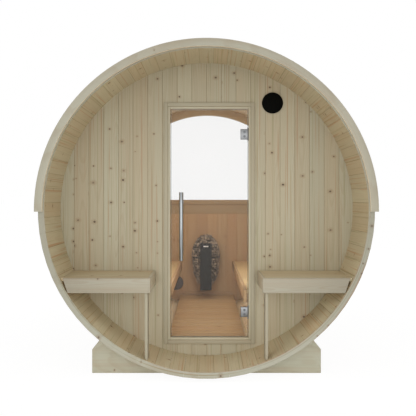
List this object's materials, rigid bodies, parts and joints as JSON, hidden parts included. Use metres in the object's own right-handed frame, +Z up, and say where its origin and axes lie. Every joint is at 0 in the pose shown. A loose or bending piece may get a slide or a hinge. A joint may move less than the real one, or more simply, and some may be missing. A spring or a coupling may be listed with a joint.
{
  "type": "barrel sauna",
  "caption": "Wooden barrel sauna lying on cradles: open porch with benches, glass door, half-moon back window, and a stone heater inside.",
  "frame": {"origin": "on the ground under the middle of the barrel", "axes": "+Z up, -Y towards the porch and door, +X to the right seen from the front"},
  "size_m": [2.206, 2.54, 2.2113],
  "materials": {
    "stave_wood": "planed, unfinished",
    "wall_wood": "planed, unfinished",
    "trim_wood": "planed, unfinished",
    "frame_wood": "planed, unfinished",
    "bench_wood": "planed, unfinished",
    "roof_wood": "planed, unfinished",
    "band_steel": "satin",
    "fitting_steel": "satin",
    "door_glass": "clear, slightly warm",
    "window_glass": "clear",
    "vent_plastic": "matt black",
    "heater_metal": "matt dark grey",
    "heater_stones": "rough"
  },
  "bodies": {
    "sauna": {"back_rail": "wall_wood", "back_wall": "wall_wood", "barrel_bands": "band_steel", "bench_bearers": "bench_wood", "bench_fronts": "bench_wood", "bench_seat_left": "bench_wood", "bench_seat_right": "bench_wood", "cradle_back": "trim_wood", "cradle_front": "trim_wood", "door_head": "frame_wood", "door_jambs": "frame_wood", "door_sill": "frame_wood", "fascia_back": "trim_wood", "fascia_front": "trim_wood", "floor_joists": "bench_wood", "floor_slats": "bench_wood", "front_wall_bottom": "wall_wood", "front_wall_left": "wall_wood", "front_wall_right": "wall_wood", "front_wall_top": "wall_wood", "heater_bracket": "heater_metal", "heater_column": "heater_metal", "heater_stones": "heater_stones", "hinge_brackets": "fitting_steel", "porch_ends": "trim_wood", "porch_fronts": "trim_wood", "porch_legs": "trim_wood", "porch_seat_left": "wall_wood", "porch_seat_right": "wall_wood", "roof_left": "roof_wood", "roof_right": "roof_wood", "roof_top": "roof_wood", "staves_bottom": "stave_wood", "staves_left": "stave_wood", "staves_lower_left": "stave_wood", "staves_lower_right": "stave_wood", "staves_right": "stave_wood", "staves_top": "stave_wood", "staves_upper_left": "stave_wood", "staves_upper_right": "stave_wood", "vent_back": "vent_plastic", "vent_front": "vent_plastic", "window_arch": "wall_wood", "window_glass": "window_glass", "window_sill": "wall_wood"},
    "door": {"door_glass": "door_glass", "door_handle": "fitting_steel", "hinge_clamps": "fitting_steel"}
  },
  "joints": [
    {"name": "door_swing", "type": "hinge", "parent": "sauna", "child": "door", "pos_m": [0.2945, -0.836, 1], "axis": [0, 0, 1], "range_deg": [0, 95]}
  ]
}
